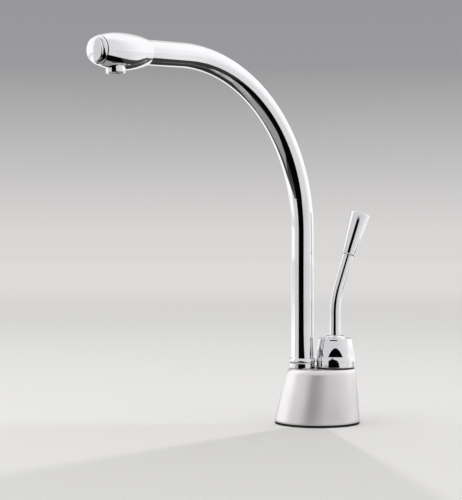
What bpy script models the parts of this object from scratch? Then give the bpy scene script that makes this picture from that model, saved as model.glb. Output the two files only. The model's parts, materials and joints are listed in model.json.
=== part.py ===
# Instant hot water tap: a gooseneck spout that swivels and a quarter-turn lever on one oval base.
# Metres, +Z up. The origin is on the mounting face, on the axis of the threaded shank.
# +Y runs from the spout's column towards the lever.

import math

import bmesh
import bpy
from mathutils import Matrix, Vector

# Fits
seat_gap = 0.0003
turn_gap = 0.0003
ring_gap = 0.00015
cut_over = 0.001

# Facets
oval_steps = 48
round_steps = 30
small_steps = 20
shank_steps = 24
pin_steps = 12
seal_steps = 16
seal_sides = 6
strainer_sides = 8
pipe_sides = 16
spout_sides = 24
rod_sides = 16
spout_arc_steps = 20
rod_arc_steps = 6
edge_steps = 3
base_edge_steps = 5
head_steps = 7
cavity_steps = 4
smooth_limit = math.radians(32)
weld_distance = 0.000001

# Base: an oval casting whose top is smaller and set towards the lever. Its top edge is well
# rounded at the spout's end and nearly sharp below the lever.
base_height = 0.0390
base_foot_length = 0.0604
base_foot_width = 0.0525
base_foot_band = 0.0010
base_top_length = 0.0482
base_top_width = 0.0446
base_top_shift = 0.00305
base_edge_height = 0.0030
base_spout_edge = 0.0026
base_lever_edge = 0.0004
base_wall = 0.0025
base_top_wall = 0.0040
column_setback = 0.0106
lever_spacing = 0.0235

# Mounting through the deck
gasket_thickness = 0.0015
gasket_inset = 0.0002
deck_hole_radius = 0.0175
deck_thickness = 0.0300
shank_radius = 0.0135
shank_bore = 0.0110
shank_reach = 0.0560
thread_pitch = 0.0020
thread_depth = 0.0007
thread_runout = 0.0020
clamp_washer_radius = 0.0240
rubber_washer_thickness = 0.0030
steel_washer_thickness = 0.0020
lock_nut_flats = 0.0360
lock_nut_height = 0.0090

# Manifold inside the base
manifold_side_gap = 0.00125
manifold_flange_height = 0.0035
manifold_wall = 0.0016
manifold_width = 0.0270
manifold_root = 0.0032
shank_socket_share = 0.215
pipe_port_share = 0.385
spout_socket_share = 0.46

# Pipes below the manifold
pipe_radius = 0.003175
pipe_wall = 0.0008
pipe_circle = 0.0058
pipe_below_shank = 0.0180
passage_radius = 0.0013
passage_clearance = 0.0004
passage_end_share = 0.15

# Spout
spout_radius = 0.0080
spout_wall = 0.0010
spout_arc_start = 0.1363
spout_arc_radius = 0.1117
spout_sweep = math.radians(93.6)
spout_tail = 0.0310
spout_rest_turn = math.radians(42)
collar_height = 0.0072
collar_wall = 0.0005
collar_lip = 0.0012
collar_band_height = 0.0035
collar_bead_rise = 0.0014
collar_bead_bulge = 0.0003
spigot_radius = 0.0060
spigot_bore = 0.0035
spigot_insert = 0.0180
spigot_ring_depth = 0.0011
spigot_ring_shares = (0.18, 0.52)
snap_ring_drop = 0.0035
snap_ring_thickness = 0.0009
snap_ring_grip = 0.0008
snap_ring_mouth = 0.0030
bushing_wall = 0.0012

# Spout head: two half ellipsoids back to back, cut off at the tube and at the nose
head_radius = 0.0109
head_widest = 0.0220
head_rear_length = 0.0342
head_front_length = 0.0270
head_nose_at = 0.0371
head_belly_share = 0.11
head_droop = 0.0007
head_wall = 0.0016
head_neck_length = 0.0100
head_neck_bore = 0.0045
head_cavity_start_share = 0.25
nose_opening = 0.0068
nose_ring_radius = 0.0087
nose_ring_width = 0.0025
nose_ring_edge = 0.0009
nose_cap_radius = 0.0074
nose_cap_edge = 0.0011
nose_cap_dome = 0.0012
nose_plug_length = 0.0060
nozzle_at = 0.0249
nozzle_radius = 0.0061
nozzle_bore = 0.0046
nozzle_below_head = 0.0031
nozzle_inside = 0.0040
nozzle_edge = 0.0004
strainer_thickness = 0.0012
strainer_hole_radius = 0.00055
strainer_hole_circle = 0.0026
strainer_holes = 6
strainer_setback = 0.0010
nozzle_seal_thickness = 0.0010

# Lever hub: a cone with six arched flats above a round flange, and a small dome round the rod
hub_radius = 0.0139
hub_flange_height = 0.0054
hub_height = 0.0225
hub_shoulder_radius = 0.0117
hub_shoulder_height = 0.0190
hub_shoulder_edge = 0.0009
hub_dome_radius = 0.0072
hub_dome_height = 0.0020
hub_flat_foot = 0.0077
hub_flat_reach = 0.0125
hub_flats = 6
hub_turn = math.radians(-8.3)
hub_foot_edge = 0.0004
hub_hollow = 0.0100
hub_web = 0.0012
glide_washer_thickness = 0.0004
glide_washer_width = 0.0022
set_screw_radius = 0.0018
set_screw_height = 0.0105

# Lever rod and knob
rod_radius = 0.0038
rod_seat_depth = 0.0060
rod_bend_start = 0.0780
rod_bend_radius = 0.0700
rod_lean = math.radians(16.6)
rod_straight = 0.0240
knob_length = 0.0300
knob_foot_radius = 0.0046
knob_end_radius = 0.0069
knob_end_edge = 0.0008
knob_end_dome = 0.0004
knob_bore_depth = 0.0080
knob_ring_radius = 0.0048
knob_ring_width = 0.0012
knob_ring_foot_share = 0.92

# Valve under the lever
valve_radius = 0.0070
valve_neck_radius = 0.0058
valve_neck_above_base = 0.0048
valve_plenum = 0.0040
valve_room = 0.0028
valve_chamber_radius = 0.0052
disc_thickness = 0.0022
disc_port_radius = 0.0012
disc_port_circle = 0.0028
stem_radius = 0.0030
stem_square = 0.0042
stem_square_length = 0.0085
valve_ring_depth = 0.0011
valve_ring_drop = 0.0026
stem_ring_depth = 0.0010
stem_ring_drop = 0.0040
bonnet_radius = 0.0092
bonnet_height = 0.0042
bonnet_notch = 0.0012
bonnet_notches = 4
seal_ring_section = 0.0005
stem_seal_section = 0.00045

# Places worked out from the sizes above
column_y = -column_setback
lever_y = lever_spacing - column_setback
base_foot_z = gasket_thickness + seat_gap
base_ceiling_z = base_height - base_top_wall
manifold_flange_radius = base_foot_width / 2 - base_wall - manifold_side_gap
manifold_foot_z = gasket_thickness + seat_gap
manifold_top_z = base_ceiling_z - seat_gap
manifold_height = manifold_top_z - manifold_foot_z
manifold_floor = manifold_foot_z + manifold_height * spout_socket_share
shank_top_z = manifold_foot_z + manifold_height * shank_socket_share
pipe_top_z = manifold_foot_z + manifold_height * pipe_port_share
socket_radius = spigot_radius + turn_gap
valve_bore_radius = valve_radius + seat_gap
collar_foot_z = base_height + turn_gap
spout_foot_z = collar_foot_z + collar_lip + seat_gap
spigot_foot_z = manifold_floor + seat_gap
valve_foot_z = manifold_floor + valve_plenum
turning_disc_z = valve_foot_z + disc_thickness + turn_gap
stem_foot_z = turning_disc_z + disc_thickness + turn_gap
valve_room_top_z = stem_foot_z + valve_room
inlet_link_z = manifold_floor + passage_clearance + passage_radius
feed_link_z = valve_room_top_z - valve_room / 2
valve_shoulder_z = manifold_top_z - seat_gap
valve_top_z = base_height + valve_neck_above_base
glide_washer_z = base_height + turn_gap
hub_foot_z = glide_washer_z + glide_washer_thickness + turn_gap
hub_hollow_top_z = hub_foot_z + hub_flange_height - hub_web
hub_top_z = hub_foot_z + hub_height
rod_foot_z = hub_top_z - rod_seat_depth
stem_top_z = rod_foot_z - hub_web - seat_gap - seat_gap
shank_foot_z = -shank_reach
pipe_foot_z = shank_foot_z - pipe_below_shank

silver = (0.78, 0.79, 0.80, 1.0)
brass = (0.72, 0.55, 0.25, 1.0)
copper = (0.72, 0.40, 0.26, 1.0)
steel = (0.55, 0.56, 0.57, 1.0)
black = (0.02, 0.02, 0.02, 1.0)
ceramic = (0.86, 0.85, 0.82, 1.0)
nylon = (0.80, 0.80, 0.76, 1.0)


def clear_scene():
    for old in list(bpy.data.objects):
        bpy.data.objects.remove(old, do_unlink=True)


def new_collection(name):
    group = bpy.data.collections.new(name)
    bpy.context.scene.collection.children.link(group)
    return group


def give_material(obj, colour, roughness, metallic):
    material = bpy.data.materials.new(obj.name)
    material.use_nodes = True
    shader = material.node_tree.nodes["Principled BSDF"]
    shader.inputs["Base Color"].default_value = colour
    shader.inputs["Roughness"].default_value = roughness
    shader.inputs["Metallic"].default_value = metallic
    obj.data.materials.clear()
    obj.data.materials.append(material)


def chromed(obj):
    give_material(obj, silver, 0.06, 1.0)


def in_brass(obj):
    give_material(obj, brass, 0.32, 1.0)


def in_steel(obj):
    give_material(obj, steel, 0.28, 1.0)


def in_copper(obj):
    give_material(obj, copper, 0.30, 1.0)


def in_rubber(obj):
    give_material(obj, black, 0.70, 0.0)


def in_ceramic(obj):
    give_material(obj, ceramic, 0.35, 0.0)


def in_nylon(obj):
    give_material(obj, nylon, 0.45, 0.0)


def evaluated_mesh(obj):
    """The object's shape with its modifiers, as a mesh of its own."""
    bpy.context.view_layer.update()
    graph = bpy.context.evaluated_depsgraph_get()
    return bpy.data.meshes.new_from_object(obj.evaluated_get(graph))


def settle(obj):
    """Fixes the modifiers' result as the object's mesh, welds it and shades its round faces smooth."""
    mesh = evaluated_mesh(obj)
    obj.modifiers.clear()
    obj.data = mesh
    model = bmesh.new()
    model.from_mesh(mesh)
    bmesh.ops.remove_doubles(model, verts=model.verts, dist=weld_distance)
    bmesh.ops.dissolve_degenerate(model, edges=model.edges, dist=weld_distance)
    model.to_mesh(mesh)
    model.free()
    mesh.shade_smooth()
    mesh.set_sharp_from_angle(angle=smooth_limit)
    return obj


def as_cutter(obj):
    """Keeps a shape as a tool that others are cut with."""
    obj.hide_render = True
    obj.display_type = "WIRE"
    cutters.objects.link(obj)
    parts.objects.unlink(obj)
    return obj


def cut(obj, cutter, solver="EXACT"):
    difference = obj.modifiers.new("cut by " + cutter.name, "BOOLEAN")
    difference.operation = "DIFFERENCE"
    difference.solver = solver
    difference.object = cutter


def new_object(name, mesh):
    obj = bpy.data.objects.new(name, mesh)
    parts.objects.link(obj)
    return obj


def new_frame(name, parent, location, turn):
    """An empty that carries a group of pieces: turn is a rotation matrix."""
    frame = bpy.data.objects.new(name, None)
    bpy.context.scene.collection.objects.link(frame)
    frame.parent = parent
    frame.matrix_local = Matrix.Translation(location) @ turn
    return frame


def carried_by(obj, frame, location=(0, 0, 0)):
    obj.parent = frame
    obj.location = location
    return obj


def turned(name, profile, steps, closed=False):
    """A solid turned about Z from (radius, height) points, which run down its outer side.

    A closed profile is a ring's section. An open one starts and ends on the axis.
    """
    mesh = bpy.data.meshes.new(name)
    points = [(radius, 0, height) for radius, height in profile]
    edges = [(i, i + 1) for i in range(len(points) - 1)]
    if closed:
        edges.append((len(points) - 1, 0))
    mesh.from_pydata(points, edges, [])
    obj = new_object(name, mesh)
    screw = obj.modifiers.new("turn", "SCREW")
    screw.axis = "Z"
    screw.steps = steps
    screw.render_steps = steps
    screw.use_merge_vertices = True
    screw.merge_threshold = weld_distance
    return settle(obj)


def rod_between(name, radius, low, high, steps):
    """A plain cylinder about Z from one height to another."""
    return turned(name, [(0, high), (radius, high), (radius, low), (0, low)], steps)


def ring_between(name, outer, inner, low, high, steps):
    """A plain ring about Z from one height to another."""
    section = [(outer, high), (outer, low), (inner, low), (inner, high)]
    return turned(name, section, steps, closed=True)


def seal_ring(name, middle_radius, section_radius, height):
    """A round-section ring about Z."""
    section = []
    for i in range(seal_sides):
        angle = -math.tau * i / seal_sides
        radius = middle_radius + section_radius * math.cos(angle)
        section.append((radius, height + section_radius * math.sin(angle)))
    return turned(name, section, seal_steps, closed=True)


def quarter_round(radius, height, size):
    """The points of a rounded outer edge whose corner lies at this radius and height, from the top."""
    points = []
    for i in range(edge_steps + 1):
        angle = math.pi / 2 * i / edge_steps
        out = size * (1 - math.sin(angle))
        down = size * (1 - math.cos(angle))
        points.append((radius - out, height - down))
    return points


def lofted(name, rings, steps):
    """A closed solid through oval rings, each (centre along Y, half width, half length, height)."""
    mesh = bpy.data.meshes.new(name)
    model = bmesh.new()
    levels = []
    for centre, half_width, half_length, height in rings:
        level = []
        for i in range(steps):
            angle = math.tau * i / steps
            x = half_width * math.cos(angle)
            y = centre + half_length * math.sin(angle)
            level.append(model.verts.new((x, y, height)))
        levels.append(level)
    for lower, upper in zip(levels, levels[1:]):
        for i in range(steps):
            j = (i + 1) % steps
            model.faces.new((lower[i], lower[j], upper[j], upper[i]))
    model.faces.new(reversed(levels[0]))
    model.faces.new(levels[-1])
    model.to_mesh(mesh)
    model.free()
    return new_object(name, mesh)


def tube_along(name, points, radius, sides):
    """A round bar along the points, as a mesh with closed ends."""
    data = bpy.data.curves.new(name + "_path", "CURVE")
    data.dimensions = "3D"
    data.bevel_depth = radius
    data.bevel_resolution = sides // 2 - 2
    data.use_fill_caps = True
    spline = data.splines.new("POLY")
    spline.points.add(len(points) - 1)
    for point, place in zip(spline.points, points):
        point.co = (*place, 1)
    path = bpy.data.objects.new(name + "_path", data)
    bpy.context.scene.collection.objects.link(path)
    mesh = evaluated_mesh(path)
    bpy.data.objects.remove(path, do_unlink=True)
    model = bmesh.new()
    model.from_mesh(mesh)
    bmesh.ops.remove_doubles(model, verts=model.verts, dist=weld_distance)
    bmesh.ops.recalc_face_normals(model, faces=model.faces)
    model.to_mesh(mesh)
    model.free()
    return new_object(name, mesh)


def box_between(name, low, high):
    """A block from one corner to the opposite one."""
    model = bmesh.new()
    bmesh.ops.create_cube(model, size=1)
    size = Vector(high) - Vector(low)
    middle = (Vector(high) + Vector(low)) / 2
    bmesh.ops.scale(model, vec=size, verts=model.verts)
    bmesh.ops.translate(model, vec=middle, verts=model.verts)
    mesh = bpy.data.meshes.new(name)
    model.to_mesh(mesh)
    model.free()
    return new_object(name, mesh)


def base_section(height, inset=0):
    """The base's outline at a height: its centre along Y, half width and half length."""
    rise = max(0, height - base_foot_z - base_foot_band)
    share = rise / (base_height - base_foot_z - base_foot_band)
    centre = base_top_shift * share
    width = base_foot_width + (base_top_width - base_foot_width) * share
    length = base_foot_length + (base_top_length - base_foot_length) * share
    return centre, width / 2 - inset, length / 2 - inset


def base_ring(height, inset=0):
    return (*base_section(height, inset), height)


def base_edge_ring(share):
    """A ring on the rounded top edge: share runs from 0 at its foot to 1 at the top."""
    angle = math.pi / 2 * share
    height = base_height - base_edge_height * (1 - math.sin(angle))
    centre, half_width, half_length = base_section(height)
    inward = 1 - math.cos(angle)
    inset = inward * (base_spout_edge + base_lever_edge) / 2
    centre += inward * (base_spout_edge - base_lever_edge) / 2
    return centre, half_width - inset, half_length - inset, height


def make_base_shell():
    """The casting: a thin shell, open below, with holes for the spout and the valve's neck."""
    rings = [base_ring(base_foot_z), base_ring(base_foot_z + base_foot_band)]
    for i in range(base_edge_steps + 1):
        rings.append(base_edge_ring(i / base_edge_steps))
    shell = lofted("base_shell", rings, oval_steps)
    hollow_rings = [
        (*base_section(base_foot_z, base_wall), base_foot_z - cut_over),
        base_ring(base_foot_z + base_foot_band, base_wall),
        base_ring(base_ceiling_z, base_wall),
    ]
    hollow = as_cutter(lofted("cut_base_hollow", hollow_rings, oval_steps))
    low = base_ceiling_z - cut_over
    high = base_height + cut_over
    spout_hole_radius = socket_radius + bushing_wall + seat_gap
    spout_hole = rod_between("cut_base_spout_hole", spout_hole_radius, low, high, small_steps)
    spout_hole.location.y = column_y
    valve_hole_radius = valve_neck_radius + seat_gap
    valve_hole = rod_between("cut_base_valve_hole", valve_hole_radius, low, high, small_steps)
    valve_hole.location.y = lever_y
    cut(shell, hollow)
    cut(shell, as_cutter(spout_hole))
    cut(shell, as_cutter(valve_hole))
    chromed(settle(shell))


def make_gasket():
    rings = [
        (*base_section(0, gasket_inset), 0),
        (*base_section(0, gasket_inset), gasket_thickness),
    ]
    gasket = lofted("base_gasket", rings, oval_steps)
    hole = rod_between(
        "cut_gasket_hole", deck_hole_radius, -cut_over, gasket_thickness + cut_over, round_steps
    )
    cut(gasket, as_cutter(hole))
    in_rubber(settle(gasket))


def drill(name, radius, start, end):
    """A cutter for a straight round hole from one point to another."""
    along = Vector(end) - Vector(start)
    tool = rod_between(name, radius, 0, along.length, pin_steps)
    tool.matrix_world = Matrix.Translation(start) @ along.to_track_quat("Z", "Y").to_matrix().to_4x4()
    return as_cutter(tool)


def pipe_place(number):
    """Where a pipe stands under the manifold: 0 is the hot return, below the spout."""
    angle = -math.pi / 2 + math.tau * number / 3
    return Vector((pipe_circle * math.cos(angle), pipe_circle * math.sin(angle), 0))


def passage_to_valve(name, number, height):
    """A level passage from the pipe of this number into the valve's bore."""
    start = pipe_place(number) + Vector((0, 0, height))
    end = Vector((start.x, lever_y - valve_bore_radius * passage_end_share, height))
    return drill(name, passage_radius, start, end)


def make_manifold():
    body_low = column_y - socket_radius - manifold_wall
    body_high = lever_y + valve_bore_radius + manifold_wall
    body_centre = (body_low + body_high) / 2
    body_half_length = (body_high - body_low) / 2
    body_half_width = manifold_width / 2
    flange_top = manifold_foot_z + manifold_flange_height
    rings = [
        (0, manifold_flange_radius, manifold_flange_radius, manifold_foot_z),
        (0, manifold_flange_radius, manifold_flange_radius, flange_top),
        (body_centre, body_half_width, body_half_length, shank_top_z + manifold_root),
        (body_centre, body_half_width, body_half_length, manifold_top_z),
    ]
    manifold = lofted("manifold", rings, round_steps)
    above = manifold_top_z + cut_over
    socket = rod_between("cut_spout_socket", socket_radius, manifold_floor, above, small_steps)
    socket.location.y = column_y
    groove_z = manifold_top_z - snap_ring_drop
    groove = ring_between(
        "cut_snap_groove",
        socket_radius + snap_ring_grip,
        socket_radius - cut_over,
        groove_z - seat_gap,
        groove_z + snap_ring_thickness + seat_gap,
        small_steps,
    )
    groove.location.y = column_y
    bore = rod_between("cut_valve_bore", valve_bore_radius, manifold_floor, above, small_steps)
    bore.location.y = lever_y
    shank_socket = rod_between(
        "cut_shank_socket",
        shank_radius + seat_gap,
        manifold_foot_z - cut_over,
        shank_top_z + seat_gap,
        round_steps,
    )
    tools = [as_cutter(tool) for tool in (socket, groove, bore, shank_socket)]
    up = Vector((0, 0, 1))
    for number, top in enumerate((manifold_floor, inlet_link_z, feed_link_z)):
        foot = pipe_place(number) + up * shank_top_z
        port_top = pipe_place(number) + up * (pipe_top_z + seat_gap)
        riser_top = pipe_place(number) + up * (top + passage_radius)
        tools.append(drill(f"cut_port_{number}", pipe_radius + ring_gap, foot, port_top))
        tools.append(drill(f"cut_riser_{number}", passage_radius, foot, riser_top))
    tools.append(passage_to_valve("cut_inlet_link", 1, inlet_link_z))
    tools.append(passage_to_valve("cut_feed_link", 2, feed_link_z))
    for tool in tools:
        cut(manifold, tool, "MANIFOLD")
    in_brass(settle(manifold))


def make_pipes():
    for number, name in enumerate(("hot_return_pipe", "cold_inlet_pipe", "tank_feed_pipe")):
        pipe = ring_between(
            name, pipe_radius, pipe_radius - pipe_wall, pipe_foot_z, pipe_top_z, pipe_sides
        )
        pipe.location = pipe_place(number)
        in_copper(settle(pipe))


def make_shank():
    """The hollow shank, with its thread as plain ribs from just below the base to its foot."""
    root = shank_radius - thread_depth
    turns = int((shank_reach - thread_runout - thread_runout) / thread_pitch)
    section = [(shank_radius, shank_top_z)]
    for i in range(turns):
        crest_z = -thread_runout - thread_pitch * i
        section += [(shank_radius, crest_z), (root, crest_z - thread_pitch / 2)]
    section += [
        (shank_radius, -thread_runout - thread_pitch * turns),
        (root, shank_foot_z),
        (shank_bore, shank_foot_z),
        (shank_bore, shank_top_z),
    ]
    in_brass(settle(turned("threaded_shank", section, shank_steps, closed=True)))


def make_deck_clamp():
    hole_radius = shank_radius + seat_gap
    rubber_top = -deck_thickness
    rubber_foot = rubber_top - rubber_washer_thickness
    rubber = ring_between(
        "rubber_washer", clamp_washer_radius, hole_radius, rubber_foot, rubber_top, round_steps
    )
    in_rubber(settle(rubber))
    steel_top = rubber_foot - seat_gap
    steel_foot = steel_top - steel_washer_thickness
    washer = ring_between(
        "steel_washer", clamp_washer_radius, hole_radius, steel_foot, steel_top, round_steps
    )
    in_steel(settle(washer))
    nut_top = steel_foot - seat_gap
    nut_foot = nut_top - lock_nut_height
    nut_corner = lock_nut_flats / 2 / math.cos(math.pi / 6)
    nut = rod_between("lock_nut", nut_corner, nut_foot, nut_top, 6)
    hole = rod_between("cut_nut_hole", hole_radius, nut_foot - cut_over, nut_top + cut_over, round_steps)
    cut(nut, as_cutter(hole))
    in_brass(settle(nut))


def spout_path(before=0, after=0):
    """The spout's centre line in its own frame: up, over towards -Y, and a straight tail."""
    points = [Vector((0, 0, spout_foot_z - before))]
    for i in range(spout_arc_steps + 1):
        angle = spout_sweep * i / spout_arc_steps
        forward = spout_arc_radius * (1 - math.cos(angle))
        points.append(Vector((0, -forward, spout_arc_start + spout_arc_radius * math.sin(angle))))
    heading = Vector((0, -math.sin(spout_sweep), math.cos(spout_sweep)))
    points.append(points[-1] + heading * (spout_tail + after))
    return points


def make_spout_tube():
    tube = tube_along("spout_tube", spout_path(), spout_radius, spout_sides)
    bore_path = spout_path(cut_over, cut_over)
    bore = tube_along("cut_spout_bore", bore_path, spout_radius - spout_wall, spout_sides)
    carried_by(tube, spout_frame)
    carried_by(bore, spout_frame)
    cut(tube, as_cutter(bore))
    chromed(settle(tube))


def make_collar():
    """The ring round the tube's foot: a plain band with a rounded bead above it."""
    inner = spout_radius + seat_gap
    outer = inner + collar_wall
    top = collar_foot_z + collar_height
    lip_top = collar_foot_z + collar_lip
    band_top = collar_foot_z + collar_band_height
    widest_z = band_top + collar_bead_rise
    section = []
    for i in range(1, edge_steps + 1):
        angle = math.pi / 2 * i / edge_steps
        radius = inner + (collar_wall + collar_bead_bulge) * math.sin(angle)
        section.append((radius, widest_z + (top - widest_z) * math.cos(angle)))
    section += [
        (outer, band_top),
        (outer, collar_foot_z),
        (socket_radius, collar_foot_z),
        (socket_radius, lip_top),
        (inner, lip_top),
        (inner, top),
    ]
    collar = carried_by(turned("spout_collar", section, round_steps, closed=True), spout_frame)
    chromed(settle(collar))


def spigot_ring_heights():
    free_length = manifold_top_z - snap_ring_drop - spigot_foot_z
    return [spigot_foot_z + free_length * share for share in spigot_ring_shares]


def make_spigot():
    """The spout's plug: it fills the tube's foot and turns in the manifold's socket."""
    shoulder = spout_radius - spout_wall - seat_gap
    top = spout_foot_z + spigot_insert
    groove_floor = spigot_radius - spigot_ring_depth
    half_groove = seal_ring_section + ring_gap
    section = [(shoulder, top), (shoulder, spout_foot_z), (spigot_radius, spout_foot_z)]
    snap_foot = manifold_top_z - snap_ring_drop - seat_gap
    snap_top = snap_foot + snap_ring_thickness + seat_gap + seat_gap
    snap_floor = spigot_radius - snap_ring_grip
    section += [
        (spigot_radius, snap_top),
        (snap_floor, snap_top),
        (snap_floor, snap_foot),
        (spigot_radius, snap_foot),
    ]
    for height in reversed(spigot_ring_heights()):
        section += [
            (spigot_radius, height + half_groove),
            (groove_floor, height + half_groove),
            (groove_floor, height - half_groove),
            (spigot_radius, height - half_groove),
        ]
    section += [(spigot_radius, spigot_foot_z), (spigot_bore, spigot_foot_z), (spigot_bore, top)]
    spigot = carried_by(turned("spout_spigot", section, small_steps, closed=True), spout_frame)
    in_brass(settle(spigot))


def make_spout_seals():
    middle = (socket_radius + spigot_radius - spigot_ring_depth) / 2
    for name, height in zip(("lower_spout_seal", "upper_spout_seal"), spigot_ring_heights()):
        ring = carried_by(seal_ring(name, middle, seal_ring_section, height), spout_frame)
        in_rubber(settle(ring))


def make_snap_ring():
    """A split ring, half in the manifold's groove and half in the spigot's."""
    foot = manifold_top_z - snap_ring_drop
    outer = socket_radius + snap_ring_grip - turn_gap
    inner = spigot_radius - snap_ring_grip + turn_gap
    ring = ring_between("spout_snap_ring", outer, inner, foot, foot + snap_ring_thickness, small_steps)
    ring.location.y = column_y
    mouth = box_between(
        "cut_snap_mouth",
        (-snap_ring_mouth / 2, column_y, foot - cut_over),
        (snap_ring_mouth / 2, column_y + outer + cut_over, foot + snap_ring_thickness + cut_over),
    )
    cut(ring, as_cutter(mouth))
    in_steel(settle(ring))


def make_bushing():
    bushing = ring_between(
        "spout_bushing",
        socket_radius + bushing_wall,
        socket_radius,
        manifold_top_z + seat_gap,
        base_height,
        small_steps,
    )
    bushing.location.y = column_y
    in_nylon(settle(bushing))


def head_outline(place):
    """The head's outer radius at a distance from its rear edge."""
    length = head_rear_length if place < head_widest else head_front_length
    return head_radius * math.sqrt(1 - ((place - head_widest) / length) ** 2)


def make_spout_head():
    """The moulded head: turned with Z towards the nose, then given its fuller underside and droop."""
    neck = spout_radius - spout_wall - seat_gap
    rear = seat_gap
    section = []
    for i in range(head_steps, -1, -1):
        place = head_widest + (head_nose_at - head_widest) * i / head_steps
        section.append((head_outline(place), place))
    for i in range(head_steps - 1, -1, -1):
        place = rear + (head_widest - rear) * i / head_steps
        section.append((head_outline(place), place))
    section += [
        (neck, rear),
        (neck, -head_neck_length),
        (head_neck_bore, -head_neck_length),
        (head_neck_bore, rear + head_wall),
    ]
    cavity_start = head_nose_at * head_cavity_start_share
    cavity_end = head_nose_at - head_wall
    for i in range(cavity_steps + 1):
        place = cavity_start + (cavity_end - cavity_start) * i / cavity_steps
        section.append((head_outline(place) - head_wall, place))
    section += [
        (nose_opening, cavity_end),
        (nose_opening, head_nose_at),
    ]
    head = carried_by(turned("spout_head", section, round_steps, closed=True), head_frame)
    for point in head.data.vertices:
        share = max(0, point.co.z / head_nose_at)
        if point.co.y < 0:
            point.co.y *= 1 + head_belly_share * math.sin(math.pi * share)
        point.co.y -= head_droop * share**3
    hole_reach = head_radius + nozzle_below_head
    hole = rod_between("cut_nozzle_hole", nozzle_radius + seat_gap, 0, hole_reach, small_steps)
    carried_by(hole, nozzle_frame)
    cut(head, as_cutter(hole))
    chromed(settle(head))


def make_nose():
    """The ring and the cap on the head's nose, in a frame whose origin is the end of the head."""
    ring_foot = seat_gap
    ring_inner = nose_opening
    section = quarter_round(nose_ring_radius, ring_foot + nose_ring_width, nose_ring_edge)
    section += [
        (nose_ring_radius, ring_foot),
        (ring_inner, ring_foot),
        (ring_inner, ring_foot + nose_ring_width),
    ]
    ring = carried_by(turned("nose_ring", section, round_steps, closed=True), nose_frame)
    chromed(settle(ring))
    cap_foot = ring_foot + nose_ring_width + seat_gap
    cap_top = cap_foot + nose_cap_edge
    plug_radius = ring_inner - seat_gap
    profile = [(0, cap_top + nose_cap_dome)]
    for i in range(1, edge_steps):
        share = i / edge_steps
        radius = (nose_cap_radius - nose_cap_edge) * share
        profile.append((radius, cap_top + nose_cap_dome * (1 - share**2)))
    profile += quarter_round(nose_cap_radius, cap_top, nose_cap_edge / 2)
    profile += [
        (nose_cap_radius, cap_foot),
        (plug_radius, cap_foot),
        (plug_radius, -nose_plug_length),
        (0, -nose_plug_length),
    ]
    cap = carried_by(turned("nose_cap", profile, round_steps), nose_frame)
    chromed(settle(cap))


def make_nozzle():
    """The outlet and what is in it, in a frame whose Z points down out of the head."""
    mouth = head_radius + nozzle_below_head
    foot = head_radius - nozzle_inside
    section = quarter_round(nozzle_radius, mouth, nozzle_edge)
    section += [
        (nozzle_radius, foot),
        (nozzle_bore, foot),
        (nozzle_bore, mouth),
    ]
    nozzle = carried_by(turned("nozzle_body", section, small_steps, closed=True), nozzle_frame)
    chromed(settle(nozzle))
    strainer_top = mouth - strainer_setback
    strainer_foot = strainer_top - strainer_thickness
    strainer = rod_between(
        "nozzle_strainer", nozzle_bore - seat_gap, strainer_foot, strainer_top, small_steps
    )
    carried_by(strainer, nozzle_frame)
    for i in range(strainer_holes):
        angle = math.tau * i / strainer_holes
        hole = rod_between(
            f"cut_strainer_{i}",
            strainer_hole_radius,
            strainer_foot - cut_over,
            strainer_top + cut_over,
            strainer_sides,
        )
        place = (strainer_hole_circle * math.cos(angle), strainer_hole_circle * math.sin(angle), 0)
        carried_by(hole, nozzle_frame, place)
        cut(strainer, as_cutter(hole))
    in_steel(settle(strainer))
    seal_top = strainer_foot - seat_gap
    seal = ring_between(
        "nozzle_seal",
        nozzle_bore - seat_gap,
        nozzle_bore - seat_gap - nozzle_seal_thickness,
        seal_top - nozzle_seal_thickness,
        seal_top,
        small_steps,
    )
    in_rubber(settle(carried_by(seal, nozzle_frame)))


def make_lever_hub():
    shoulder_z = hub_foot_z + hub_shoulder_height
    dome_z = hub_top_z - hub_dome_height
    rod_hole = rod_radius + seat_gap
    section = [(rod_hole, hub_top_z)]
    for i in range(1, edge_steps + 1):
        angle = math.pi / 2 * i / edge_steps
        radius = rod_hole + (hub_dome_radius - rod_hole) * math.sin(angle)
        section.append((radius, dome_z + hub_dome_height * math.cos(angle)))
    section += quarter_round(hub_shoulder_radius, dome_z, hub_shoulder_edge)
    section += [
        (hub_shoulder_radius, shoulder_z),
        (hub_radius, hub_foot_z + hub_flange_height),
        (hub_radius, hub_foot_z + hub_foot_edge),
        (hub_radius - hub_foot_edge, hub_foot_z),
        (hub_hollow, hub_foot_z),
        (hub_hollow, hub_hollow_top_z),
        (stem_radius + seat_gap, hub_hollow_top_z),
        (stem_radius + seat_gap, rod_foot_z - hub_web),
        (0, rod_foot_z - hub_web),
    ]
    # The solid starts on the axis at the bottom of the rod's socket.
    profile = [(0, rod_foot_z - seat_gap), (rod_hole, rod_foot_z - seat_gap)] + section
    hub = carried_by(turned("lever_hub", profile, round_steps), lever_frame)
    ledge_z = hub_foot_z + hub_flat_foot
    for i in range(hub_flats):
        angle = math.tau * i / hub_flats
        tool = box_between(
            f"cut_hub_flat_{i}",
            (hub_flat_reach, -hub_radius, ledge_z),
            (hub_radius + cut_over, hub_radius, hub_top_z),
        )
        carried_by(tool, hub_frame)
        tool.rotation_euler.z = angle
        cut(hub, as_cutter(tool))
    screw_hole_radius = set_screw_radius + ring_gap
    screw_hole = rod_between("cut_screw_hole", screw_hole_radius, 0, hub_radius + cut_over, pin_steps)
    carried_by(screw_hole, screw_frame)
    cut(hub, as_cutter(screw_hole))
    chromed(settle(hub))


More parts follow.
